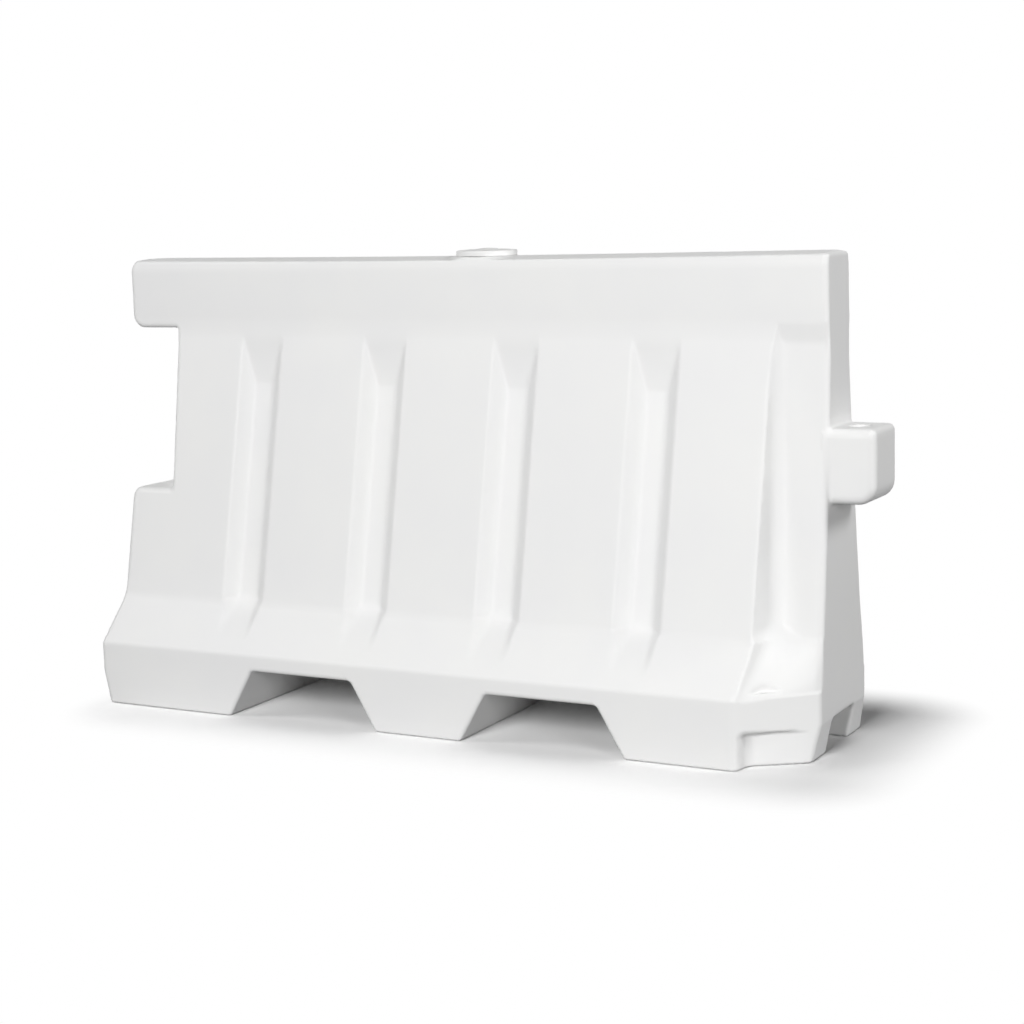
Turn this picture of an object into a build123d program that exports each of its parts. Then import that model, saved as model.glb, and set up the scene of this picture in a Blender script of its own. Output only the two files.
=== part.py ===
from build123d import *
import os
from math import cos, floor, radians, sin, tan

# A water-filled road barrier: one hollow polyethylene moulding with a screwed filler cap on its rail
# and a screwed drain plug in the notch at the foot of its end face.
# X runs along the barrier from the overhang to the coupling lug, Z is up, and the origin is on the
# ground under the middle of the overall length.

# Moulded body
body_length = 1200.0
height = 708.0
base_width = 382.0
wall = 6.0

# Cross-section: rail, sloped panel, toe and skirt
rail_width = 97.0
rail_height = 74.0
rail_step = 5.0
rail_step_drop = 15.0
kink_width = 278.0
kink_height = 172.0
skirt_height = 100.0
rail_edge_radius = 9.0
step_radius = 10.0
kink_radius = 30.0
skirt_edge_radius = 10.0

# Overhang, coupling slot and ledge at the open end
overhang_reach = 90.0
overhang_depth = 109.0
overhang_radius = 22.0
overhang_top_radius = 14.0
slot_lean = 13.0
slot_radius = 4.0
ledge_height = 343.0
ledge_setback = 25.0
ledge_radius = 15.0
toe_flare = 12.0

# Feet and the two fork tunnels
foot_bevel_height = 54.0
foot_bevel_run = 11.0
tunnel_pitch = 414.0
tunnel_offset = 3.0
tunnel_foot_width = 267.0
tunnel_roof_width = 181.0
tunnel_height = 75.0
tunnel_roof_radius = 9.0
tunnel_foot_radius = 5.0

# Recessed ribs in the sloped panels
rib_pitch = 228.0
rib_offset = 1.0
rib_end_gap = 60.0
rib_mouth_width = 75.0
rib_floor_width = 34.0
rib_depth = 18.0
rib_top_gap = 33.0
rib_brow_height = 12.0
rib_brow_depth = 9.0
rib_ramp_height = 74.0
rib_floor_end = 176.0
rib_tip = 125.0
rib_tip_width = 56.0

# End face, the pocket beside it, and the chamfered nose below with its twisted toe and thumb recess
end_lean = 5.0
end_edge_radius = 11.0
pocket_length = 83.0
pocket_wall_run = 17.0
pocket_half_foot = 86.5
pocket_half_mid = 62.7
pocket_mid_height = 374.0
pocket_top_gap = 13.0
pocket_step = 4.0
nose_length = 95.0
nose_angle = 45.0
nose_radius = 14.0
nose_facet = 28.0
thumb_width = 62.0
thumb_depth = 6.5
thumb_rise = 5.0
thumb_along = 51.0

# Hand scoops in the nose and the notch under the end face
scoop_height = 50.0
scoop_depth = 21.0
scoop_length = 96.0
scoop_start = 13.0
scoop_splay = 10.0
notch_width = 93.0
notch_height = 51.0
notch_depth = 60.0

# Coupling lug and pin holes
lug_reach = 68.0
lug_width = 98.0
lug_bottom = 358.5
lug_height = 106.0
lug_radius = 9.0
lug_nose_radius = 10.0
lug_heel_radius = 20.0
pin_radius = 14.0
pin_setback = 30.0

# Filler: moulded-in collar, screw cap and seal
filler_from_end = 642.0
filler_bore = 62.0
collar_wall = 5.0
collar_height = 34.0
collar_shoulder = 3.0
cap_diameter = 93.0
cap_rise = 10.5
cap_edge_chamfer = 3.0
cap_grip_width = 14.0
cap_floor = 4.0
cap_skirt_gap = 0.5
spigot_length = 25.0
spigot_wall = 4.2
seal_thickness = 2.0
seal_inner_diameter = 63.0
seal_outer_diameter = 76.0

# Drain: moulded-in bush, screw plug and seal
drain_height = 27.0
drain_bore = 24.0
bush_wall = 4.0
bush_length = 18.0
bush_shoulder = 4.0
plug_head_diameter = 40.0
plug_head_thickness = 5.0
plug_spigot_length = 17.0
plug_grip_width = 7.0
plug_grip_length = 30.0
plug_grip_height = 8.0
plug_seal_inner_diameter = 24.6
plug_seal_outer_diameter = 35.0

# Clearances
thread_gap = 0.3
insert_gap = 0.2
seal_gap = 0.4

# Stations along the barrier and half widths across it
x_free = -(body_length + lug_reach) / 2
x_end = x_free + body_length
x_middle = x_free + body_length / 2
x_foot = x_end + end_lean
x_lug = x_end + lug_reach
rail_half = rail_width / 2
panel_top_half = rail_half - rail_step
panel_top = height - rail_height - rail_step_drop
kink_half = kink_width / 2
base_half = base_width / 2
overhang_bottom = height - overhang_depth
rib_top = panel_top - rib_top_gap
rib_brow_end = rib_top - rib_brow_height
rib_ramp_end = rib_top - rib_ramp_height
pocket_top = panel_top - pocket_top_gap
panel_slope = (kink_half - panel_top_half) / (panel_top - kink_height)
toe_slope = (base_half - kink_half) / (kink_height - skirt_height)
x_ridge = x_foot - pocket_length
x_nose = x_foot - nose_length
nose_half = base_half - nose_length * tan(radians(nose_angle))
nose_along = Vector(cos(radians(nose_angle)), -sin(radians(nose_angle)))
nose_outward = Vector(sin(radians(nose_angle)), cos(radians(nose_angle)))
panel_clear = x_ridge - x_free - overhang_reach - slot_lean
rib_count = floor((panel_clear - 2 * rib_end_gap - rib_mouth_width) / rib_pitch) + 1
spare = 40.0


def panel_half(z):
    """Half width of the sloped panel at a height."""
    return panel_top_half + (panel_top - z) * panel_slope


def inset(points, amount):
    """Corners of a counter-clockwise outline with every side moved inward by one amount."""
    moved = []
    for i, corner in enumerate(points):
        here = Vector(*corner)
        arrive = (here - Vector(*points[i - 1])).normalized()
        leave = (Vector(*points[(i + 1) % len(points)]) - here).normalized()
        side_in = Vector(-arrive.Y, arrive.X)
        side_out = Vector(-leave.Y, leave.X)
        shift = (side_in + side_out) * (amount / (1 + side_in.dot(side_out)))
        moved.append((here.X + shift.X, here.Y + shift.Y))
    return moved


def slab(plane, points, radii, inward, start, length):
    """Prism on an outline whose sides are moved inward, with its corners rounded to suit."""
    corners = inset(points, inward)
    rounds = [max(radius - inward, 0) for radius in radii]
    outline = FilletPolyline(*corners, radius=rounds, close=True)
    return extrude(plane.offset(start) * make_face(outline), length)


def plane_through(a, b, c, away):
    """Plane through three points whose normal points towards a fourth."""
    normal = (Vector(*b) - Vector(*a)).cross(Vector(*c) - Vector(*a))
    if normal.dot(Vector(*away) - Vector(*a)) < 0:
        normal = normal * -1
    return Plane(origin=a, z_dir=normal)


def both_sides(tool):
    """A tool for the front and its mirror image for the back."""
    return [tool, mirror(tool, about=Plane.XZ)]


# Outlines that the moulding is carved from
def cross_section(inward):
    half = [
        (base_half, 0, 0),
        (base_half, skirt_height, skirt_edge_radius),
        (kink_half, kink_height, kink_radius),
        (panel_top_half, panel_top, step_radius),
        (rail_half, height - rail_height, step_radius),
        (rail_half, height, rail_edge_radius),
    ]
    whole = half + [(-y, z, radius) for y, z, radius in reversed(half)]
    points = [(y, z) for y, z, radius in whole]
    radii = [radius for y, z, radius in whole]
    return slab(Plane.YZ, points, radii, inward, x_free - spare, body_length + 2 * spare)


def side_outline(inward):
    x_ledge = x_free + ledge_setback
    x_flare = x_ledge - toe_flare
    x_slot = x_free + overhang_reach
    corners = [(x_flare + foot_bevel_run, 0, 0)]
    for side in (-1, 1):
        middle = x_middle + tunnel_offset + side * tunnel_pitch / 2
        corners.append((middle - tunnel_foot_width / 2, 0, tunnel_foot_radius))
        corners.append((middle - tunnel_roof_width / 2, tunnel_height, tunnel_roof_radius))
        corners.append((middle + tunnel_roof_width / 2, tunnel_height, tunnel_roof_radius))
        corners.append((middle + tunnel_foot_width / 2, 0, tunnel_foot_radius))
    corners += [
        (x_foot - foot_bevel_run, 0, 0),
        (x_foot, foot_bevel_height, 0),
        (x_foot, skirt_height, 0),
        (x_end, height, end_edge_radius),
        (x_free, height, overhang_top_radius),
        (x_free, overhang_bottom, overhang_radius),
        (x_slot, overhang_bottom, slot_radius),
        (x_slot + slot_lean, ledge_height, slot_radius),
        (x_ledge, ledge_height, ledge_radius),
        (x_ledge, kink_height, 0),
        (x_flare, skirt_height, 0),
        (x_flare, foot_bevel_height, 0),
    ]
    points = [(x, z) for x, z, radius in corners]
    radii = [radius for x, z, radius in corners]
    return slab(Plane.XZ, points, radii, inward, -base_half - spare, base_width + 2 * spare)


def plan_outline(inward):
    half = [(x_nose, -base_half), (x_foot, -nose_half)]
    points = [(x_free, -base_half)] + half + [(x, -y) for x, y in reversed(half)] + [(x_free, base_half)]
    radii = [0, nose_radius, nose_radius, nose_radius, nose_radius, 0]
    return slab(Plane.XY, points, radii, inward, 0, height)


# Recesses, each made larger by the wall for the hollow inside
def pocket(grow):
    """The pocket's floor and wall, and below them the toe that twists from its corner to the nose."""
    top_half = panel_half(pocket_top) - pocket_step - grow
    foot_half = pocket_half_foot - grow
    top = pocket_top + grow
    foot = kink_height - grow / 2
    rim = base_half + spare
    far = x_foot + spare
    floor_arc = ThreePointArc((foot_half, foot), (pocket_half_mid - grow, pocket_mid_height), (top_half, top))
    rim_lines = Polyline((top_half, top), (rim, top), (rim, foot), (foot_half, foot))
    upper = extrude(Plane.YZ.offset(x_nose) * make_face(floor_arc + rim_lines), far - x_nose)
    ridge_top = (x_ridge, panel_half(pocket_top), pocket_top)
    ridge_foot = (x_ridge, kink_half, kink_height)
    wall_foot = (x_ridge + pocket_wall_run, pocket_half_foot, kink_height)
    side_wall = plane_through(ridge_top, ridge_foot, wall_foot, (far, rim, top)).offset(-grow)
    upper = split(upper, bisect_by=side_wall, keep=Keep.TOP)

    def wall_corner(y):
        start = side_wall.origin
        normal = side_wall.z_dir
        return start.X - (normal.Y * (y - start.Y) + normal.Z * (foot - start.Z)) / normal.X, y

    corner = Vector(x_nose, base_half) - nose_outward * grow
    chamfer_points = [corner - nose_along * spare, corner + nose_along * nose_facet]
    chamfer_points.append(corner + nose_along * ((far - corner.X) / nose_along.X))
    low = [(p.X, p.Y) for p in chamfer_points] + [(far, rim), (x_nose - spare, rim)]
    high = [wall_corner(rim), wall_corner(foot_half), (far, foot_half), (far, rim), (x_nose, rim)]
    low_face = Pos(0, 0, skirt_height - grow / 2) * make_face(Polyline(*low, close=True))
    high_face = Pos(0, 0, foot) * make_face(Polyline(*high, close=True))
    return [upper, loft([low_face, high_face], ruled=True)]


def thumb_recess(grow):
    radius = (thumb_width**2 / 4 + thumb_depth**2) / (2 * thumb_depth)
    inside = thumb_rise * (base_half - kink_half) / (kink_height - skirt_height)
    edge = Vector(x_nose, base_half) + nose_along * thumb_along
    axis = edge + nose_outward * (radius - thumb_depth - inside)
    low = skirt_height + thumb_rise - grow
    tool = Pos(axis.X, axis.Y, low) * Cylinder(radius + grow, spare, align=(Align.CENTER, Align.CENTER, Align.MIN))
    return tool


def rib(grow):
    rib_tip_half = kink_half + (kink_height - rib_tip) * toe_slope
    points = [
        (panel_half(rib_top), rib_top),
        (panel_half(rib_brow_end) - rib_brow_depth, rib_brow_end),
        (panel_half(rib_ramp_end) - rib_depth, rib_ramp_end),
        (panel_half(rib_floor_end) - rib_depth, rib_floor_end),
        (rib_tip_half, rib_tip),
        (base_half + spare, rib_tip),
        (base_half + spare, rib_top),
    ]
    tool = slab(Plane.YZ, points, [0] * len(points), -grow, -rib_mouth_width, 2 * rib_mouth_width)
    floor_half = rib_floor_width / 2
    mouth_half = rib_mouth_width / 2
    floor_foot = panel_half(rib_floor_end) - rib_depth
    for side in (-1, 1):
        low = (side * floor_half, floor_foot, rib_floor_end)
        high = (side * floor_half, panel_half(rib_ramp_end) - rib_depth, rib_ramp_end)
        lip = (side * mouth_half, panel_half(rib_floor_end), rib_floor_end)
        tip = (side * rib_tip_width / 2, rib_tip_half, rib_tip)
        within = (0, panel_half(rib_floor_end), rib_floor_end)
        tool = split(tool, bisect_by=plane_through(low, high, lip, within).offset(-grow), keep=Keep.TOP)
        tool = split(tool, bisect_by=plane_through(low, lip, tip, within).offset(-grow), keep=Keep.TOP)
    return tool


def ribs(grow):
    one = rib(grow)
    stations = [x_middle + rib_offset + (i - (rib_count - 1) / 2) * rib_pitch for i in range(rib_count)]
    return [copy for x in stations for copy in both_sides(Pos(x, 0, 0) * one)]


def scoop(grow):
    first = Vector(x_nose, base_half) + nose_along * scoop_start
    deepest = first + nose_along * scoop_splay - nose_outward * scoop_depth
    last = first + nose_along * scoop_length
    mouth = first + (first - deepest) * (spare / scoop_depth)
    points = [deepest, last, last + nose_outward * spare, mouth]
    corners = inset([(p.X, p.Y) for p in points], -grow)
    tool = make_face(Polyline(*corners, close=True))
    return extrude(Pos(0, 0, -spare) * tool, scoop_height + spare + grow)


def notch(grow):
    start = x_foot - notch_depth - grow
    size = (x_foot + spare - start, notch_width + 2 * grow, notch_height + spare + grow)
    return Pos(start, 0, -spare) * Box(*size, align=(Align.MIN, Align.CENTER, Align.MIN))


def lug(inward):
    root = x_end - lug_reach
    top = lug_bottom + lug_height
    points = [(root, lug_bottom), (x_lug, lug_bottom), (x_lug, top), (root, top)]
    radii = [0, lug_heel_radius, lug_nose_radius, 0]
    block = slab(Plane.XZ, points, radii, inward, inward - lug_width / 2, lug_width - 2 * inward)
    sides = block.faces().sort_by(Axis.Y)
    return block if inward else fillet(sides[0].edges() + sides[-1].edges(), lug_radius)


def pin_bore(x, low, high, radius):
    length = high - low + 2 * spare
    return Pos(x, 0, low - spare) * Cylinder(radius, length, align=(Align.CENTER, Align.CENTER, Align.MIN))


def pin_bores(radius):
    return [
        pin_bore(x_end + pin_setback, lug_bottom, lug_bottom + lug_height, radius),
        pin_bore(x_free + pin_setback, overhang_bottom, height, radius),
    ]


def moulding(inward):
    """The barrier's form, or the hollow inside it when every wall is moved inward."""
    form = cross_section(inward) & side_outline(inward) & plan_outline(inward)
    for tool in pocket(inward):
        form -= both_sides(tool)
    form -= both_sides(thumb_recess(inward)) + ribs(inward)
    form -= both_sides(scoop(inward)) + [notch(inward)]
    return form + lug(inward)


# The moulded tank, with its pin holes, filler hole and drain hole
x_filler = x_free + filler_from_end
x_drain = x_foot - notch_depth
collar_radius = filler_bore / 2 + collar_wall
bush_radius = drain_bore / 2 + bush_wall
filler_hole = Pos(x_filler, 0, height) * Cylinder(collar_radius + insert_gap, spare)
drain_hole = Pos(x_drain, 0, drain_height) * Rot(0, 90, 0) * Cylinder(bush_radius + insert_gap, spare)
outside = moulding(0) - pin_bores(pin_radius)
hollow = moulding(wall) - pin_bores(pin_radius + wall)
tank_shell = outside - hollow - filler_hole - drain_hole
os.makedirs("parts", exist_ok=True)
export_step(tank_shell, "parts/tank_shell.step")


def ring(outer, inner, bottom, top):
    """Flat ring round the Z axis."""
    turn = Pos(0, 0, bottom) * Cylinder(outer, top - bottom, align=(Align.CENTER, Align.CENTER, Align.MIN))
    hole = Pos(0, 0, bottom) * Cylinder(inner, top - bottom, align=(Align.CENTER, Align.CENTER, Align.MIN))
    return turn - hole


def disc(radius, bottom, top):
    """Round disc on the Z axis."""
    return Pos(0, 0, bottom) * Cylinder(radius, top - bottom, align=(Align.CENTER, Align.CENTER, Align.MIN))


# Filler collar: a threaded ring in the top wall, with a wider body whose shoulder lies under the wall
collar = ring(collar_radius, filler_bore / 2, -wall, 0)
collar += ring(collar_radius + collar_shoulder, filler_bore / 2, -collar_height, -wall)
at_filler = Pos(x_filler, 0, height)
export_step(at_filler * collar, "parts/filler_collar.step")

# Filler seal: a flat ring on the collar's rim
seal = ring(seal_outer_diameter / 2, seal_inner_diameter / 2, 0, seal_thickness)
export_step(at_filler * seal, "parts/filler_seal.step")

# Filler cap: a disc over a threaded spigot with a closed foot, hollowed from above beside a grip bar
spigot_radius = filler_bore / 2 - thread_gap
cap = disc(cap_diameter / 2, cap_skirt_gap, cap_rise)
cap = chamfer(cap.edges().filter_by(GeomType.CIRCLE).sort_by(Axis.Z)[-1], cap_edge_chamfer)
cap -= ring(seal_outer_diameter / 2 + seal_gap, spigot_radius, 0, seal_thickness)
cap += disc(spigot_radius, -spigot_length, seal_thickness)
recess = disc(spigot_radius - spigot_wall, cap_floor - spigot_length, cap_rise)
recess -= Box(cap_grip_width, filler_bore, 2 * (spigot_length + cap_rise))
export_step(at_filler * (cap - recess), "parts/filler_cap.step")

# Drain bush: a threaded ring in the back wall of the notch, with its wider body inside the tank
at_drain = Pos(x_drain, 0, drain_height) * Rot(0, 90, 0)
bush = ring(bush_radius, drain_bore / 2, -wall, 0)
bush += ring(bush_radius + bush_shoulder, drain_bore / 2, -bush_length, -wall)
export_step(at_drain * bush, "parts/drain_fitting.step")

# Drain seal: a flat ring between the plug's head and the bush
plug_seal = ring(plug_seal_outer_diameter / 2, plug_seal_inner_diameter / 2, 0, seal_thickness)
export_step(at_drain * plug_seal, "parts/drain_seal.step")

# Drain plug: a round head with a grip bar, on a threaded spigot
plug = disc(plug_head_diameter / 2, seal_thickness, seal_thickness + plug_head_thickness)
plug += disc(drain_bore / 2 - thread_gap, -plug_spigot_length, seal_thickness)
grip_base = Pos(0, 0, seal_thickness + plug_head_thickness)
grip_size = (plug_grip_width, plug_grip_length, plug_grip_height)
plug += grip_base * Box(*grip_size, align=(Align.CENTER, Align.CENTER, Align.MIN))
export_step(at_drain * plug, "parts/drain_plug.step")
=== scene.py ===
from math import cos, radians, sin

import bpy
import numpy as np
from mathutils import Matrix


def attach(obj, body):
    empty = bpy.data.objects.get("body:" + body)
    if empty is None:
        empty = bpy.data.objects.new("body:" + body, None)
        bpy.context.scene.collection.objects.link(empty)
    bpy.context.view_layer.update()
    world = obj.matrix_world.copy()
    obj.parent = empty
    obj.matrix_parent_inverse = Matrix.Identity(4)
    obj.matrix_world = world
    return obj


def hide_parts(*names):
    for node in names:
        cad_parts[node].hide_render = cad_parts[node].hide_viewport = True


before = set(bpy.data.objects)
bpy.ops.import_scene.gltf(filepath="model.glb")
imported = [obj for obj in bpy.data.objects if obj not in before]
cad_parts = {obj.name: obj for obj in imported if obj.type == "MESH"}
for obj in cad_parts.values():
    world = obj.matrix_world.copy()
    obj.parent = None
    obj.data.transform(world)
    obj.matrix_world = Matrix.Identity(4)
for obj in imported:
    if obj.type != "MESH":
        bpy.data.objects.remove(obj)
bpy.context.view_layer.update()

# Tank shell: the hollow barrier body, one rotational moulding in white polyethylene. The powder melts
# against the inside of a steel mould, so rail, ribs, toes, tunnels, pockets and lug are one skin, and
# no edge is sharp. Sizes are in millimetres, and angles in degrees.

# Half width and height of the skirt's top, of the toe's top and of the brow, where the panel meets the rail
foot_half, skirt_top = 191.0, 100.0
toe_half, toe_top = 139.0, 172.0
brow_half, brow = 43.5, 619.0

# Places along the barrier: start of the nose's chamfer, end face, and the tips of lug and overhang
nose_x, end_x, tip_x = 476.0, 571.0, 634.0

# Middle of the filler on the rail's top, and of the drain in the back wall of the end notch
at_filler = np.array((8.0, 0.0, 708.0))
at_drain = np.array((511.0, 0.0, 27.0))
rail_top = at_filler[2]


def meet(a, b, radius, turn=90.0):
    """Two fields cut together: the greater of them, with the edge where they cross rounded to a radius.
    The surface turns there by an angle, and the rounding starts radius (1 - cos turn) inside."""
    r = radius * (1 - cos(radians(turn)))
    return np.minimum(-r, np.maximum(a, b)) + np.hypot(np.maximum(r + a, 0), np.maximum(r + b, 0))


def join(a, b, radius, turn=90.0):
    """Two fields put together: the lesser of them, with the corner where they cross filled to a radius."""
    return -meet(-a, -b, radius, turn)


def carve(a, b, radius, turn=90.0):
    """The second field taken out of the first, with the rim rounded to a radius."""
    return meet(a, -b, radius, turn)


def edge(u, v, p, q):
    """Distance from the line through p and q in the (u, v) plane, positive on its right going from p to q."""
    du, dv = q[0] - p[0], q[1] - p[1]
    return ((u - p[0]) * dv - (v - p[1]) * du) / np.hypot(du, dv)


def facet(x, y, z, a, b, c, far):
    """Distance from the plane through three points, positive on the side of a fourth."""
    a, b, c, far = (np.array(p, float) for p in (a, b, c, far))
    n = np.cross(b - a, c - a)
    n *= np.sign(n @ (far - a)) / np.linalg.norm(n)
    return (x - a[0]) * n[0] + (y - a[1]) * n[1] + (z - a[2]) * n[2]


def panel_half(z):
    """Half width of the sloped panel at a height: it grows evenly from the brow down to the toe."""
    return brow_half + (brow - z) * (toe_half - brow_half) / (brow - toe_top)


def flank(x, y, z):
    """Field of one side: panel and toe joined and cut off at the skirt, less four ribs, plus the rail."""
    panel = edge(y, z, (toe_half, toe_top), (brow_half, brow))
    toe = edge(y, z, (foot_half, skirt_top), (toe_half, toe_top))
    side = join(panel, toe, radius=30.0, turn=24.0)
    side = meet(side, y - foot_half, radius=10.0, turn=36.0)

    # Ribs sunk in the panel: flat floor, splayed walls, a ramp at the top and a tip in the toe
    rib_middle, rib_pitch, first_rib, last_rib = -33.0, 228.0, -1, 2
    rib_half, rib_splay, rib_depth, rib_foot = 17.0, 20.5, 18.0, 176.0
    tip_reach, tip_half, tip_low = 28.0, 173.0, 125.0
    ramp_low, ramp_high = 512.0, 586.0
    rank = np.clip(np.round((x - rib_middle) / rib_pitch + 0.5), first_rib, last_rib)
    station = rib_middle + rib_pitch * (rank - 0.5)
    across = np.abs(x - station)
    depth = y - (panel_half(z) - rib_depth)
    foot = panel_half(rib_foot) - rib_depth
    splay = (across - rib_half - depth * rib_splay / rib_depth) / np.hypot(1.0, rib_splay / rib_depth)
    taper = facet(
        across, y, z, (rib_half, foot, rib_foot), (rib_half + rib_splay, foot + rib_depth, rib_foot),
        (tip_reach, tip_half, tip_low), far=(0.0, foot + rib_depth, rib_foot))
    ramp = edge(y, z, (panel_half(ramp_low) - rib_depth, ramp_low), (panel_half(ramp_high), ramp_high))
    tip = edge(y, z, (tip_half, tip_low), (foot, rib_foot))
    rib = meet(-depth, -ramp, radius=30.0, turn=14.0)
    rib = meet(rib, -tip, radius=30.0, turn=34.0)
    rib = meet(rib, np.maximum(splay, -taper), radius=13.0, turn=41.0)
    side = carve(side, rib, radius=9.0, turn=41.0)

    # Rail along the top, drawn in a little at its foot and again at its shoulder
    rail_half, rail_low, rail_high = 48.5, 632.0, 692.0
    rail_foot, rail_shoulder = (48.0, 606.0), (46.0, 704.0)
    rail = meet(y - rail_half, edge(y, z, rail_foot, (rail_half, rail_low)), radius=60.0, turn=3.0)
    rail = meet(rail, edge(y, z, (rail_half, rail_high), rail_shoulder), radius=40.0, turn=12.0)
    return join(side, rail, radius=120.0, turn=15.0)


def pocket(x, y, z):
    """Field of the pocket beside the end face: its floor is a shallow arc with a ramp above it, and its wall
    the ridge. Below it the nose's toe goes over, in two twisted facets, from the pocket's corner to the
    straight chamfer of the skirt. The top wall leans in."""
    floor_half, floor_at, floor_flare, floor_curl = 62.7, 374.0, 0.10402, 0.0000695
    ramp_high, ramp_proud, ramp_lean = 615.0, 1.0, 0.066
    arc = floor_half + (floor_at - z) * floor_flare + (floor_at - z) ** 2 * floor_curl
    ramp = panel_half(ramp_high) + ramp_proud - (ramp_high - z) * ramp_lean
    floor = meet(arc - y, ramp - y, radius=60.0, turn=8.0)

    ridge_x, ridge_foot_x = 485.0, 475.0
    ridge = facet(
        x, y, z, (ridge_x, brow_half, brow), (ridge_x, toe_half, toe_top), (ridge_foot_x, foot_half, skirt_top),
        far=(end_x, foot_half, brow))

    # The two facets bend at a corner that moves as the toe rises
    bend_low_x, bend_low_half, bend_high_x, bend_high_half, end_low_half = 496.0, 171.0, 505.0, 86.5, 96.0
    bend_radius, bend_least = 150.0, 0.02
    rise = np.minimum((z - skirt_top) / (toe_top - skirt_top), 1.0)
    outer = (ridge_foot_x + (ridge_x - ridge_foot_x) * rise, foot_half - (foot_half - toe_half) * rise)
    inner = (bend_low_x + (bend_high_x - bend_low_x) * rise,
             bend_low_half - (bend_low_half - bend_high_half) * rise)
    end = (end_x, end_low_half - (end_low_half - bend_high_half) * rise)
    nose_toe = join(-edge(x, y, outer, inner), -edge(x, y, inner, end),
                    radius=bend_radius * np.maximum(rise, bend_least), turn=40.0)
    above = np.maximum(z - toe_top, 0.0)

    # The hollow over the toe gets tighter towards the end face
    hollow_radius, hollow_run, hollow_least = 90.0, 70.0, 0.04
    hollow = hollow_radius * np.clip((end_x - x) / hollow_run, hollow_least, 1.0)
    wall_low, wall_high = (584.0, 43.9), (610.0, 48.1)
    field = meet(floor, -ridge, radius=24.0, turn=72.0)
    field = meet(field, -nose_toe - above, radius=hollow, turn=30.0)
    return meet(field, edge(z, y, wall_low, wall_high), radius=40.0, turn=12.0)


def ends(x, z):
    """Field of the barrier's length. The open end is a leaning slot wall, joined to the overhang above and to
    the flared toe below, which the ledge cuts off. The lug end is a face that leans in towards its top. Both
    have a bevelled foot."""
    slot_low, slot_high = (-531.0, 343.0), (-544.0, 599.0)
    flare_x, skirt_x = -609.0, -621.0
    bevel, bevel_top, lean_in, over_top = 11.0, 54.0, 5.0, 711.0
    overhang = meet(-tip_x - x, slot_high[1] - z, radius=22.0)
    overhang = meet(overhang, z - over_top, radius=20.0)
    slot = join(-edge(x, z, slot_low, slot_high), overhang, radius=4.0)
    flare = join(flare_x - x, -edge(x, z, (skirt_x, skirt_top), (flare_x, toe_top)), radius=30.0, turn=9.5)
    flare = np.maximum(flare, skirt_x - x)
    flare = np.maximum(flare, -edge(x, z, (skirt_x + bevel, 0.0), (skirt_x, bevel_top)))
    left = join(slot, meet(flare, z - slot_low[1], radius=15.0), radius=4.0)

    right = np.maximum(x - end_x, edge(x, z, (end_x, skirt_top), (end_x - lean_in, rail_top)))
    right = np.maximum(right, edge(x, z, (end_x - bevel, 0.0), (end_x, bevel_top)))
    return np.maximum(left, meet(right, z - over_top, radius=10.0))


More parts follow.
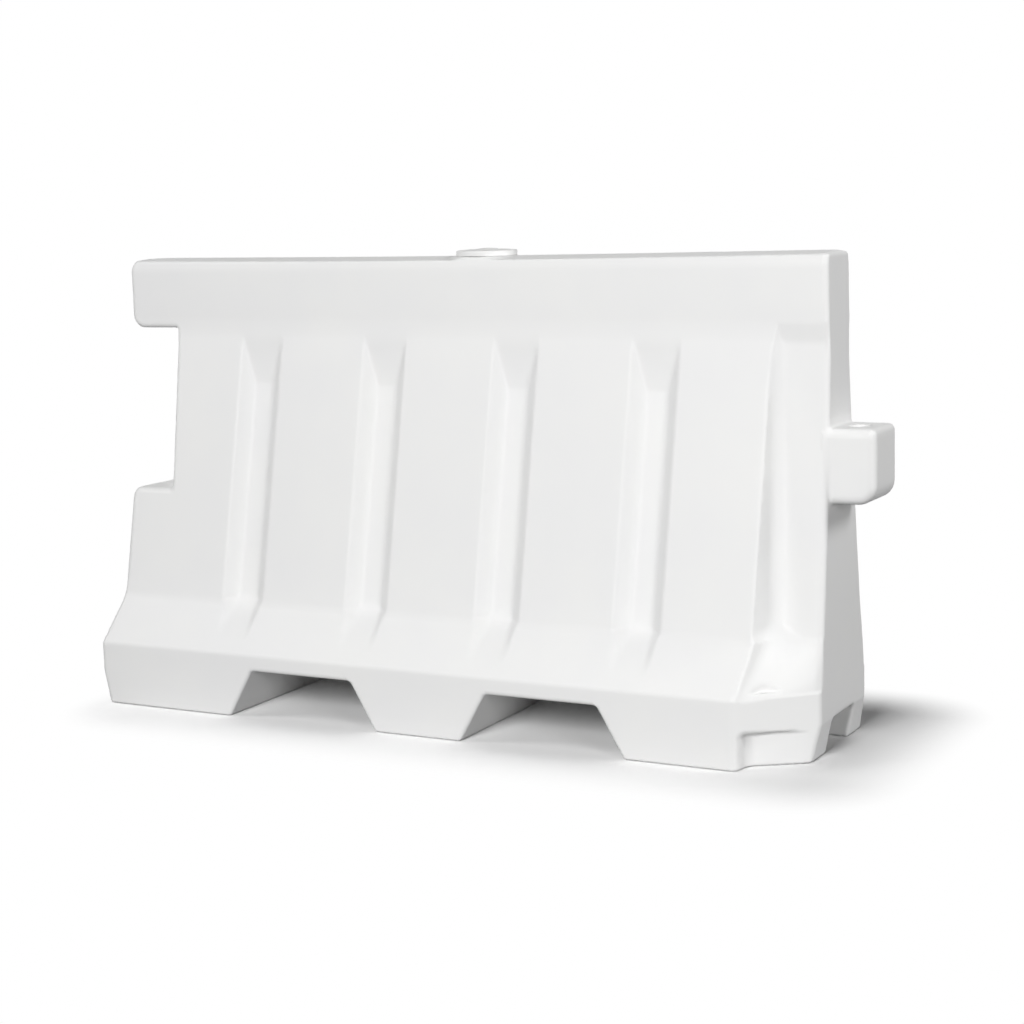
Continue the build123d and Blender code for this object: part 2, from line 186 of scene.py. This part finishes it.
def tank(x, y, z):
    """Distance field of the barrier, less than nought inside: the two sides with their pockets, cut to length
    by the ends and the nose's chamfer, less the recesses, plus the lug."""
    y = np.abs(y)
    # Nose corner in plan: how far along the chamfer, and how far outside it
    along = ((x - nose_x) - (y - foot_half)) * np.sqrt(0.5)
    outward = ((x - nose_x) + (y - foot_half)) * np.sqrt(0.5)

    # The pocket's rim is crisper at its top
    rim_radius, rim_top, rim_run, rim_least = 5.0, 620.0, 60.0, 0.15
    rim = rim_radius * np.clip((rim_top - z) / rim_run, rim_least, 1.0)
    body = carve(flank(x, y, z), pocket(x, y, z), radius=rim, turn=72.0)

    # Thumb recess: a round bite out of the nose's toe
    thumb_along, thumb_outward, thumb_radius, thumb_floor = 52.0, 33.7, 44.6, 106.0
    bite = np.hypot(along - thumb_along, outward - thumb_outward) - thumb_radius
    body = carve(body, meet(bite, thumb_floor - z, radius=3.0), radius=2.5)

    body = meet(body, ends(x, z), radius=9.0)
    body = meet(body, outward, radius=14.0, turn=45.0)

    # Two fork tunnels with splayed walls
    tunnels_middle, tunnel_offset = -31.0, 207.0
    tunnel_half, tunnel_splay, tunnel_roof = 133.5, 43.0, 75.0
    aside = np.abs(np.abs(x - tunnels_middle) - tunnel_offset)
    wall = (aside - tunnel_half + z * tunnel_splay / tunnel_roof) / np.hypot(1.0, tunnel_splay / tunnel_roof)
    body = carve(body, meet(z - tunnel_roof, wall, radius=9.0, turn=60.0), radius=5.0)

    # Rail's top: pitched to both sides, bowed up towards the ends, with a flat round seat under the cap
    bow_rise, bow_at, bow_most = 3.0, 560.0, 1.2
    seat_radius, seat_fade = 44.0, 14.0
    pitch, pitch_run, crest_radius = 5.0, 42.0, 6.0
    bow = bow_rise * np.minimum((x / bow_at) ** 2, bow_most)
    seat = np.clip((np.hypot(x - at_filler[0], y) - seat_radius) / seat_fade, 0.0, 1.0)
    seat = seat**2 * (3.0 - 2.0 * seat)
    fall = pitch * (np.hypot(y, crest_radius) - crest_radius) / pitch_run
    body = meet(body, z - rail_top + seat * (fall - bow), radius=2.5)

    # Hand scoops under the nose, which run out along the chamfer, then the ground face
    scoop_start, scoop_run, scoop_depth, scoop_roof, scoop_side = 13.0, 96.0, 21.0, 50.0, 0.5
    scoop_rim, scoop_least = 9.0, 0.25
    back = -scoop_depth + (along - scoop_start) * scoop_depth / scoop_run - outward
    back = back / np.hypot(1.0, scoop_depth / scoop_run)
    side = (scoop_start - along - outward * scoop_side) / np.hypot(1.0, scoop_side)
    scoop = meet(meet(back, side, radius=20.0), z - scoop_roof, radius=6.0)
    left_over = np.clip((scoop_start + scoop_run - along) / scoop_run, scoop_least, 1.0)
    body = carve(body, scoop, radius=scoop_rim * left_over)
    body = meet(body, -z, radius=4.0)

    # Drain notch under the end face
    notch_half, notch_roof = 46.5, 51.0
    notch = meet(meet(at_drain[0] - x, y - notch_half, radius=18.0), z - notch_roof, radius=8.0)
    body = carve(body, notch, radius=5.0)

    # Coupling lug, a little wider at its root
    lug_top, lug_bottom, lug_half, lug_taper, lug_run, lug_root = 465.0, 358.5, 49.0, 4.5, 68.0, 562.0
    lug = meet(meet(x - tip_x, z - lug_top, radius=9.0), lug_bottom - z, radius=27.0)
    lug = meet(lug, y - lug_half - lug_taper * np.minimum((tip_x - x) / lug_run, 1.0), radius=12.0)
    body = join(body, np.maximum(lug, lug_root - x), radius=4.0)

    # Pin holes, and the wells that the filler collar and the drain bush are moulded into
    pin_radius, lug_pin_x, overhang_pin_x, overhang_pin_end = 14.0, 596.0, -604.0, 514.0
    filler_well, filler_well_end = 36.2, 670.0
    drain_well, drain_well_start, drain_well_end = 16.2, 490.0, 530.0
    overhang_pin = np.maximum(np.hypot(x - overhang_pin_x, y), overhang_pin_end - z)
    body = carve(body, np.minimum(np.hypot(x - lug_pin_x, y), overhang_pin) - pin_radius, radius=3.0)
    filler = np.maximum(np.hypot(x - at_filler[0], y) - filler_well, filler_well_end - z)
    drain = np.maximum(drain_well_start - x, x - drain_well_end)
    drain = np.maximum(np.hypot(y, z - at_drain[2]) - drain_well, drain)
    return carve(body, np.minimum(filler, drain), radius=0.6)


def ruled(*stretches):
    """Grid lines along one axis: each stretch is (start, end, spacing), and it ends where the next starts."""
    return np.concatenate([
        np.linspace(start, end, max(round((end - start) / spacing), 1), endpoint=False)
        for start, end, spacing in stretches])


def skin(field, xs, ys, zs):
    """Surface of a field on a grid of lines: one point in each cell that the surface goes through, at the
    mean of the crossings on the cell's edges and then moved down the gradient onto the surface, and one
    quad round each crossed edge. Returns points, quads and normals, which are the field's gradient."""
    rounds, probe, least_steep, longest_move = 5, 0.05, 0.2, 4.0
    f = field(xs[:, None, None], ys[None, :, None], zs[None, None, :])
    lines, shape = (xs, ys, zs), f.shape
    cells, crossings, quads = [], [], []
    for axis in range(3):
        count = shape[axis] - 1
        a, b = np.take(f, range(count), axis), np.take(f, range(1, count + 1), axis)
        at = np.array(np.nonzero((a < 0) != (b < 0)))
        a, b = a[tuple(at)], b[tuple(at)]
        point = np.stack([lines[k][at[k]] for k in range(3)], 1)
        point[:, axis] += (lines[axis][at[axis] + 1] - lines[axis][at[axis]]) * a / (a - b)
        u, v = np.eye(3, dtype=int)[[(axis + 1) % 3, (axis + 2) % 3]]
        ring = [np.ravel_multi_index(at - step[:, None], shape) for step in (u + v, v, 0 * u, u)]
        cells.append(np.concatenate(ring))
        crossings.append(np.tile(point, (4, 1)))
        quad = np.stack(ring, 1)
        quads.append(np.where((a < 0)[:, None], quad, quad[:, ::-1]))
    names, index = np.unique(np.concatenate(cells), return_inverse=True)
    crossings = np.concatenate(crossings)
    points = np.stack([np.bincount(index, crossings[:, k]) for k in range(3)], 1)
    points = points / np.bincount(index)[:, None]
    quads = np.searchsorted(names, np.concatenate(quads))
    for _ in range(rounds):
        value = field(*points.T)
        slope = [field(*(points + h).T) - field(*(points - h).T) for h in probe * np.eye(3)]
        slope = np.stack(slope, 1) / (2 * probe)
        steep = np.maximum((slope**2).sum(1), least_steep)
        points = points - np.clip(value / steep, -longest_move, longest_move)[:, None] * slope
    return points, quads, slope / np.sqrt(steep)[:, None]


def piece(name, points, quads, body, material, normals=None):
    """A mesh object from millimetres, with smooth faces. It takes the normals given, or else is sharp where
    its faces turn by more than an angle. It rides on a body and its material."""
    mm_per_m, sharp_from = 1000.0, 40.0
    mesh = bpy.data.meshes.new(name)
    mesh.from_pydata((points / mm_per_m).tolist(), [], quads.tolist())
    mesh.polygons.foreach_set("use_smooth", np.ones(len(mesh.polygons), bool))
    if normals is None:
        mesh.set_sharp_from_angle(angle=radians(sharp_from))
    else:
        mesh.normals_split_custom_set_from_vertices(normals.tolist())
    mesh.materials.append(material)
    made = bpy.data.objects.new(name, mesh)
    bpy.context.scene.collection.objects.link(made)
    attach(made, body)
    return made


def linear(colour):
    """A hex sRGB colour as linear red, green, blue and alpha."""
    srgb = np.array([int(colour[i:i + 2], 16) for i in (0, 2, 4)]) / 255.0
    return (*np.where(srgb > 0.04045, ((srgb + 0.055) / 1.055) ** 2.4, srgb / 12.92), 1.0)


def add(owner, kind, sockets=None, **settings):
    """Adds a node, with its settings and its input sockets set to a value or linked to an output."""
    made = owner.node_tree.nodes.new(kind)
    for name, value in settings.items():
        setattr(made, name, value)
    for name, value in (sockets or {}).items():
        if isinstance(value, bpy.types.NodeSocket):
            owner.node_tree.links.new(value, made.inputs[name])
        else:
            made.inputs[name].default_value = value
    return made


def emptied(owner):
    """A material or a world with an empty node tree."""
    owner.use_nodes = True
    owner.node_tree.nodes.clear()
    return owner


def clouded(name, cloud, detail, tones, roughness, ior, specular=0.5, grain=None):
    """A material whose tone and roughness follow one noise, with clouds of a size in metres. Tones are two
    places in the noise with their colours, and roughness is its value at each end. A grain is a bump from
    a finer noise: its spacing and its height, both in metres, and its strength."""
    made = emptied(bpy.data.materials.new(name))
    place = add(made, "ShaderNodeTexCoord").outputs["Object"]
    noise = add(made, "ShaderNodeTexNoise", {"Vector": place, "Scale": 1 / cloud, "Detail": detail})
    tone = add(made, "ShaderNodeValToRGB", {"Fac": noise.outputs["Fac"]})
    for stop, (position, colour) in zip(tone.color_ramp.elements, tones):
        stop.position, stop.color = position, linear(colour)
    sheen = add(made, "ShaderNodeMapRange", {
        "Value": noise.outputs["Fac"], "To Min": roughness[0], "To Max": roughness[1]})
    sockets = {
        "Base Color": tone.outputs["Color"], "Roughness": sheen.outputs["Result"], "IOR": ior,
        "Specular IOR Level": specular}
    if grain:
        spacing, height, strength = grain
        fine = add(made, "ShaderNodeTexNoise", {"Vector": place, "Scale": 1 / spacing, "Detail": 1.0})
        bump = add(made, "ShaderNodeBump", {
            "Height": fine.outputs["Fac"], "Distance": height, "Strength": strength})
        sockets["Normal"] = bump.outputs["Normal"]
    shader = add(made, "ShaderNodeBsdfPrincipled", sockets)
    add(made, "ShaderNodeOutputMaterial", {"Surface": shader.outputs["BSDF"]})
    return made


# Rotomoulded polyethylene: satin white, a little uneven in tone where the wall cooled slower, with the
# faint orange peel of the mould face. Peel spacing is drawn at 6 mm, coarser than the real 2 mm, to show.
polyethylene = clouded(
    "rotomoulded_polyethylene", cloud=0.12, detail=2.0, tones=((0.3, "F0F0F0"), (0.7, "F2F2F1")),
    roughness=(0.42, 0.5), ior=1.51, specular=0.2, grain=(0.006, 0.0001, 0.25))

# Grid lines, closer where the shell has edges and small recesses
shell_x = ruled(
    (-644, -600, 4), (-600, -548, 6), (-548, -520, 4), (-520, -430, 13), (-430, -320, 4.6),
    (-320, -200, 13), (-200, -95, 4.6), (-95, -44, 13), (-44, 28, 5), (28, 133, 4.6), (133, 255, 13),
    (255, 362, 4.6), (362, 456, 13), (456, 488, 4), (488, 580, 2.8), (580, 610, 5), (610, 645, 3))
shell_y = ruled((2, 34, 7), (34, 56, 3.5), (56, 130, 7.4), (130, 172, 3.4), (172, 200, 3.5))
shell_y = np.concatenate([-shell_y[::-1], shell_y])
shell_z = ruled(
    (-6, 12, 3), (12, 42, 6), (42, 60, 3.5), (60, 96, 4), (96, 121, 2.5), (121, 186, 5), (186, 330, 12),
    (330, 380, 5), (380, 455, 9), (455, 475, 4), (475, 500, 8), (500, 530, 6), (530, 572, 7),
    (572, 646, 4), (646, 690, 9), (690, 716, 3))
points, quads, normals = skin(tank, shell_x, shell_y, shell_z)
shell = piece("tank_skin", points, quads, "tank", polyethylene, normals)
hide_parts("tank_shell")

# Filler collar: a ring of white polypropylene with a thread inside, set in the mould before the powder, so
# that the wall closes round its neck and over its shoulder. Heights are from the top of the rail.
lead = 4.0
collar_tooth = 1.5
around = np.linspace(0, 2 * np.pi, 96, endpoint=False)


def screw(height, angle, lead, bottom, top):
    """Right-hand thread from its root, 0, to its crest, 1: a clipped cosine of the height in leads less the
    turn. The second value runs it out over half a lead at each end."""
    clipping = 1.5
    wave = 0.5 + 0.5 * np.clip(clipping * np.cos(2 * np.pi * height / lead - angle), -1, 1)
    return wave, np.clip(2 * np.minimum(height - bottom, top - height) / lead, 0, 1)


def rounded(corners, radius):
    """A closed outline with each corner drawn as a short curve that starts and ends one radius from it."""
    points_per_corner = 4
    corners = np.array(corners, float)
    back, ahead = np.roll(corners, 1, 0) - corners, np.roll(corners, -1, 0) - corners
    back *= radius / np.linalg.norm(back, axis=1)[:, None]
    ahead *= radius / np.linalg.norm(ahead, axis=1)[:, None]
    t = np.linspace(0, 1, points_per_corner)[None, :, None]
    return (corners[:, None] + (1 - t) ** 2 * back[:, None] + t**2 * ahead[:, None]).reshape(-1, 2)


def turned(radius, height):
    """A closed profile carried round an axis: radius times the cosine and sine of the angle, at its height."""
    radius = np.broadcast_to(radius, (len(height), len(around)))
    points = np.stack([radius * np.cos(around), radius * np.sin(around), height[:, None] + 0 * radius], 2)
    grid = np.arange(radius.size).reshape(radius.shape)
    along, ahead = np.roll(grid, -1, 1), np.roll(grid, -1, 0)
    quads = np.stack([grid, along, np.roll(ahead, -1, 1), ahead], 2)
    return points.reshape(-1, 3), quads.reshape(-1, 4)


def threaded_ring(neck, body, bore, step, bottom, tooth):
    """A ring with a narrow neck over a wider body, and teeth that stand inward from its bore."""
    bevel, rows_per_lead = 0.6, 8
    outline = rounded(
        [(bore, bottom), (body, bottom), (body, step), (neck, step), (neck, 0.0), (bore, 0.0)], bevel)
    run = np.linspace(-bevel, bottom + bevel, round(-rows_per_lead * bottom / lead))[1:-1]
    radius = np.concatenate([outline[:, 0], np.full(len(run), bore)])
    height = np.concatenate([outline[:, 1], run])
    wave, run_out = screw(height[:, None], around, lead, bottom + bevel, -bevel)
    inside = (np.arange(len(radius)) >= len(outline))[:, None]
    return turned(radius[:, None] - inside * tooth * (1 - wave) * run_out, height)


# Moulded polypropylene: white with a slight warm cast and a gloss from the steel mould, faintly cloudy
# where the melt flowed. The clouds are 15 mm across.
polypropylene = clouded(
    "moulded_polypropylene", cloud=0.015, detail=3.0, tones=((0.3, "E3E3E0"), (0.7, "E9E9E6")),
    roughness=(0.26, 0.36), ior=1.49)

points, quads = threaded_ring(neck=36.0, body=39.0, bore=31.8, step=-6.0, bottom=-34.0, tooth=collar_tooth)
collar = piece("filler_collar_ring", points + at_filler, quads, "tank", polypropylene)
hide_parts("filler_collar")

# Filler seal: a flat ring punched from black EPDM sheet. It lies on the collar's rim, in the groove under
# the cap, and is squeezed when the cap is screwed down.


def flat_ring(inner, outer, thickness):
    """A flat ring from its foot at height nought, with its edges just rounded."""
    edge_radius = 0.3
    outline = rounded([(inner, 0.0), (outer, 0.0), (outer, thickness), (inner, thickness)], edge_radius)
    return turned(outline[:, :1], outline[:, 1])


# EPDM rubber: near black and matt, greyed in patches by the talc that it is packed in. The specks of
# talc are drawn 1.5 mm apart, coarser than real, to show.
rubber = clouded(
    "black_epdm_rubber", cloud=0.0015, detail=4.0, tones=((0.4, "1C1C1D"), (0.8, "3A3A3B")),
    roughness=(0.6, 0.85), ior=1.52)

points, quads = flat_ring(inner=31.5, outer=38.0, thickness=2.0)
seal = piece("filler_seal_flat_ring", points + at_filler, quads, "filler_seal_ring", rubber)
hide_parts("filler_seal")

# Filler cap: injection moulded in white polyethylene, a round-edged disc over a hollow threaded spigot. Two
# finger recesses beside a bar across the middle give the hand its grip. The seal lies in a groove below.


def cap(x, y, z):
    """Distance field of the cap from the rail's top: a domed disc, less the groove, plus the spigot, less the
    two recesses."""
    disc_radius, disc_top, underside = 46.5, 11.5, 0.1
    fall, fall_run, crown = 3.4, 37.6, 10.0
    groove_inner, groove_outer, groove_roof = 30.7, 38.4, 2.0
    spigot_radius, spigot_end, spigot_root = 29.9, -25.0, 4.0
    thread_bottom, thread_top = -23.5, -1.5
    recess_radius, recess_floor, bar_half = 26.5, -21.0, 7.0
    r = np.hypot(x, y)
    dome = z - disc_top + fall * (np.hypot(r, crown) - crown) / fall_run
    disc = meet(meet(r - disc_radius, dome, radius=2.0), underside - z, radius=0.3)
    groove = np.maximum(np.maximum(r - groove_outer, groove_inner - r), z - groove_roof)
    disc = carve(disc, groove, radius=0.3)
    wave, run_out = screw(z, np.arctan2(y, x), lead, thread_bottom, thread_top)
    spigot = meet(r - spigot_radius - collar_tooth * wave * run_out, spigot_end - z, radius=1.2)
    recess = meet(meet(r - recess_radius, recess_floor - z, radius=3.0), bar_half - np.abs(x), radius=2.5)
    return carve(join(disc, np.maximum(spigot, z - spigot_root), radius=0.6), recess, radius=1.6)


# Moulded polyethylene: the white of the tank, a little glossier because the mould is polished, with a fine
# spark-eroded grain. The grain is drawn at 1.2 mm, coarser than real, to show.
cap_plastic = clouded(
    "moulded_polyethylene", cloud=0.03, detail=2.0, tones=((0.3, "EFEFEE"), (0.7, "F3F3F2")),
    roughness=(0.38, 0.46), ior=1.51, specular=0.2, grain=(0.0012, 0.00003, 0.4))

cap_x = ruled((-48.3, 48.3, 1.6))
cap_z = ruled((-26.2, -0.2, 0.8), (-0.2, 3.0, 0.55), (3.0, 6.2, 1.2), (6.2, 12.6, 0.7))
points, quads, normals = skin(cap, cap_x, cap_x, cap_z)
screw_cap = piece(
    "filler_cap_moulding", points + at_filler, quads, "filler_screw_cap", cap_plastic, normals)
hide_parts("filler_cap")

# Drain bush: a smaller ring of the same polypropylene, moulded into the back wall of the end notch. Its
# axis lies along the barrier, so a height from the wall becomes a distance towards the lug.
lay_down = np.array(((0.0, 0.0, -1.0), (0.0, 1.0, 0.0), (1.0, 0.0, 0.0)))
bush_tooth = 1.2
points, quads = threaded_ring(neck=16.0, body=20.0, bore=12.7, step=-6.0, bottom=-18.0, tooth=bush_tooth)
bush = piece("drain_bush", points @ lay_down + at_drain, quads, "tank", polypropylene)
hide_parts("drain_fitting")

# Drain seal: a second flat ring punched from EPDM sheet. It sits round the plug's spigot, and is squeezed
# between the plug's head and the wall.
points, quads = flat_ring(inner=12.9, outer=17.5, thickness=2.0)
drain_seal = piece(
    "drain_seal_flat_ring", points @ lay_down + at_drain, quads, "drain_seal_ring", rubber)
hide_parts("drain_seal")

# Drain plug: moulded in polypropylene in one piece, a round head with a bar to turn it by, on a threaded
# spigot that fills the bush.


def plug(x, y, z):
    """Distance field of the plug from the wall's face: head, plus the bar on it, plus the threaded spigot."""
    head_radius, head_top, head_foot = 20.0, 7.0, 2.0
    bar_half, bar_reach, bar_top = 3.5, 15.0, 15.0
    spigot_radius, spigot_end, inside_head = 11.1, -17.0, 4.0
    thread_bottom, thread_top = -16.0, -0.5
    r = np.hypot(x, y)
    head = meet(meet(r - head_radius, z - head_top, radius=1.5), head_foot - z, radius=0.5)
    bar = meet(np.abs(x) - bar_half, np.abs(y) - bar_reach, radius=2.5)
    bar = meet(bar, z - bar_top, radius=2.0)
    wave, run_out = screw(z, np.arctan2(y, x), lead, thread_bottom, thread_top)
    spigot = meet(r - spigot_radius - bush_tooth * wave * run_out, spigot_end - z, radius=1.0)
    head = join(head, np.maximum(bar, inside_head - z), radius=2.0)
    return join(head, np.maximum(spigot, z - inside_head), radius=0.5)


plug_x = ruled((-21.1, 21.1, 0.9))
plug_z = ruled((-18.1, 1.5, 0.7), (1.5, 7.5, 0.6), (7.5, 12.3, 0.9), (12.3, 16.0, 0.6))
points, quads, normals = skin(plug, plug_x, plug_x, plug_z)
drain_plug = piece(
    "drain_plug_moulding", points @ lay_down + at_drain, quads, "drain_screw_plug", polypropylene,
    normals @ lay_down)
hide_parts("drain_plug")

# Studio: a pale matt floor that keeps the shadow close to the barrier and fades to white away from it, in
# a white surround. The camera sees both as white, but the floor gives back little light and the surround
# none. Sizes are in metres.
floor_size, floor_bounce, floor_shown = 40.0, 0.35, 1.2
shadow_middle, shadow_half, shadow_fade = (0.035, 0.0, 0.0), (0.535, 0.19, 0.0), 0.17


def on_show(owner):
    """One for a camera, glossy or transmission ray, and nought for the rays that light the barrier."""
    rays = add(owner, "ShaderNodeLightPath").outputs
    seen = add(owner, "ShaderNodeMath", {
        0: rays["Is Camera Ray"], 1: rays["Is Glossy Ray"]}, operation="MAXIMUM")
    seen = add(owner, "ShaderNodeMath", {
        0: seen.outputs[0], 1: rays["Is Transmission Ray"]}, operation="MAXIMUM")
    return seen.outputs[0]


# Matt floor paint, which goes over to plain white with the distance from the barrier's footprint
studio_floor = emptied(bpy.data.materials.new("studio_floor"))
seen = on_show(studio_floor)
shade = add(studio_floor, "ShaderNodeMapRange", {"Value": seen, "To Min": floor_bounce, "To Max": floor_shown})
matt = add(studio_floor, "ShaderNodeBsdfDiffuse", {"Color": shade.outputs["Result"]})
white = add(studio_floor, "ShaderNodeEmission", {"Color": linear("FFFFFF"), "Strength": seen})
away = add(studio_floor, "ShaderNodeTexCoord").outputs["Object"]
for operation, other in (
        ("SUBTRACT", shadow_middle), ("ABSOLUTE", (0.0, 0.0, 0.0)), ("SUBTRACT", shadow_half),
        ("MAXIMUM", (0.0, 0.0, 0.0))):
    away = add(studio_floor, "ShaderNodeVectorMath", {0: away, 1: other}, operation=operation).outputs[0]
away = add(studio_floor, "ShaderNodeVectorMath", {0: away}, operation="LENGTH").outputs["Value"]
fade = add(studio_floor, "ShaderNodeMapRange", {
    "Value": away, "From Min": 0.0, "From Max": shadow_fade}, interpolation_type="SMOOTHSTEP")
blend = add(studio_floor, "ShaderNodeMixShader", {
    0: fade.outputs["Result"], 1: matt.outputs[0], 2: white.outputs[0]})
add(studio_floor, "ShaderNodeOutputMaterial", {"Surface": blend.outputs[0]})
bpy.ops.mesh.primitive_plane_add(size=floor_size, location=(0.0, 0.0, 0.0))
floor = bpy.context.object
floor.name = "floor"
floor.data.materials.append(studio_floor)

world = emptied(bpy.data.worlds.new("studio"))
bpy.context.scene.world = world
sky = add(world, "ShaderNodeBackground", {"Color": linear("FFFFFF"), "Strength": on_show(world)})
add(world, "ShaderNodeOutputWorld", {"Surface": sky.outputs["Background"]})

# Lamps: five large soft discs, a key beside the camera and fills from the right, the upper left, the lug
# end and behind. The last two are flagged off the floor, so that they throw no second shadow.
lamp_size, lamp_distance, lamp_aim = 1.5, 4.6, np.array((0.0, 0.0, 0.33))


def standing(right, up, back, place):
    """World matrix of a lamp or a camera: its right, up and back directions and its place, as columns."""
    return Matrix(np.vstack([np.column_stack([right, up, back, place]), (0, 0, 0, 1)]))


def lamp(name, azimuth, elevation, watts):
    """A round area lamp that looks at the barrier's middle, from an azimuth counted from straight in front
    towards the lug end, and an elevation."""
    light = bpy.data.lights.new(name, "AREA")
    light.shape, light.size, light.energy = "DISK", lamp_size, watts
    made = bpy.data.objects.new(name, light)
    bpy.context.scene.collection.objects.link(made)
    made.visible_camera = False
    a, e = radians(azimuth), radians(elevation)
    back = np.array((sin(a) * cos(e), -cos(a) * cos(e), sin(e)))
    right = np.array((cos(a), sin(a), 0.0))
    made.matrix_world = standing(right, np.cross(back, right), back, lamp_aim + lamp_distance * back)
    return made


lamp("key", azimuth=8.0, elevation=20.0, watts=140.0)
lamp("side_fill", azimuth=55.0, elevation=8.0, watts=54.0)
lamp("high_fill", azimuth=-60.0, elevation=36.0, watts=40.0)
end_fill = lamp("end_fill", azimuth=105.0, elevation=33.0, watts=65.0)
back_fill = lamp("back_fill", azimuth=-140.0, elevation=5.0, watts=140.0)
back_fill.visible_glossy = False
flagged = bpy.data.collections.new("flagged_from_end_and_back_fill")
flagged.objects.link(floor)
flagged.collection_objects[0].light_linking.link_state = "EXCLUDE"
end_fill.light_linking.receiver_collection = flagged
back_fill.light_linking.receiver_collection = flagged

# Camera: the photograph's viewpoint, to the right of the barrier's middle and just above its rail. The
# aim and the range are in metres, the sensor and the lens in millimetres.
turn, rise, roll = radians(28.12), radians(8.62), radians(-1.57)
aim, range_m = np.array((0.03914, 0.0, 0.31594)), 3.20175
sensor_mm, lens_mm = 36.0, 73.21
forward = np.array((-sin(turn) * cos(rise), cos(turn) * cos(rise), -sin(rise)))
level = np.array((cos(turn), sin(turn), 0.0))
upright = np.cross(level, forward)
lens = bpy.data.cameras.new("camera")
lens.sensor_width, lens.lens = sensor_mm, lens_mm
camera = bpy.data.objects.new("camera", lens)
bpy.context.scene.collection.objects.link(camera)
camera.matrix_world = standing(
    level * cos(roll) + upright * sin(roll), upright * cos(roll) - level * sin(roll), -forward,
    aim - forward * range_m)
bpy.context.scene.camera = camera
bpy.context.scene.view_settings.view_transform = "Standard"
